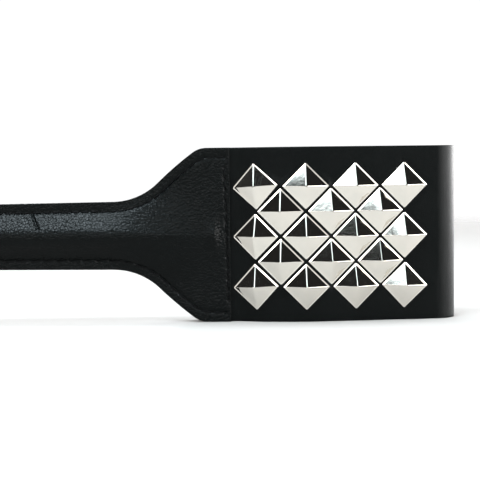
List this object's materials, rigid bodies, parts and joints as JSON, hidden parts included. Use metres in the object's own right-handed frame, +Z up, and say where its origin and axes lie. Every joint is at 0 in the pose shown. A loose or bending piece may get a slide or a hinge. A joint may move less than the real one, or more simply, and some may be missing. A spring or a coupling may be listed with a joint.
{
  "type": "riding crop",
  "caption": "Short riding crop with a padded, stitched leather handle and a broad folded leather flap covered in polished pyramid studs, with a hanging loop.",
  "frame": {"origin": "on the surface the crop stands on, at the flap's lower edge by the seam across the yoke, in the middle of its thickness", "axes": "+X along the handle towards the flap's fold, -Y out of the studded face, +Z up across the flap's width"},
  "size_m": [0.3259, 0.0285, 0.0678],
  "materials": {
    "cover_leather": "satin",
    "strap_leather": "satin",
    "loop_leather": "satin",
    "thread": "satin",
    "core_wood": "matte",
    "stud_metal": "polished"
  },
  "bodies": {
    "handle": {"handle_front_cover": "cover_leather", "handle_back_cover": "cover_leather", "core_rod": "core_wood", "flap_tongue": "strap_leather", "loop_tails": "loop_leather", "upper_edge_thread": "thread", "lower_edge_thread": "thread", "yoke_seam_thread": "thread", "butt_seam_thread": "thread"},
    "flap": {"flap_strap": "strap_leather", "stud_r1_c1": "stud_metal", "stud_r1_c2": "stud_metal", "stud_r1_c3": "stud_metal", "stud_r1_c4": "stud_metal", "stud_r2_c1": "stud_metal", "stud_r2_c2": "stud_metal", "stud_r2_c3": "stud_metal", "stud_r3_c1": "stud_metal", "stud_r3_c2": "stud_metal", "stud_r3_c3": "stud_metal", "stud_r3_c4": "stud_metal", "stud_r4_c1": "stud_metal", "stud_r4_c2": "stud_metal", "stud_r4_c3": "stud_metal", "stud_r5_c1": "stud_metal", "stud_r5_c2": "stud_metal", "stud_r5_c3": "stud_metal", "stud_r5_c4": "stud_metal"},
    "loop": {"hanging_loop": "loop_leather"}
  },
  "joints": [
    {"name": "flap_bend", "type": "hinge", "parent": "handle", "child": "flap", "pos_m": [0.0018, 0, 0.0339], "axis": [0, 0, 1], "range_deg": [-18, 25], "stiffness_Nm_per_rad": 0.4},
    {"name": "loop_swing", "type": "hinge", "parent": "handle", "child": "loop", "pos_m": [-0.1866, 0, 0.0339], "axis": [0, 0, 1], "range_deg": [-60, 60], "stiffness_Nm_per_rad": 0.01}
  ]
}
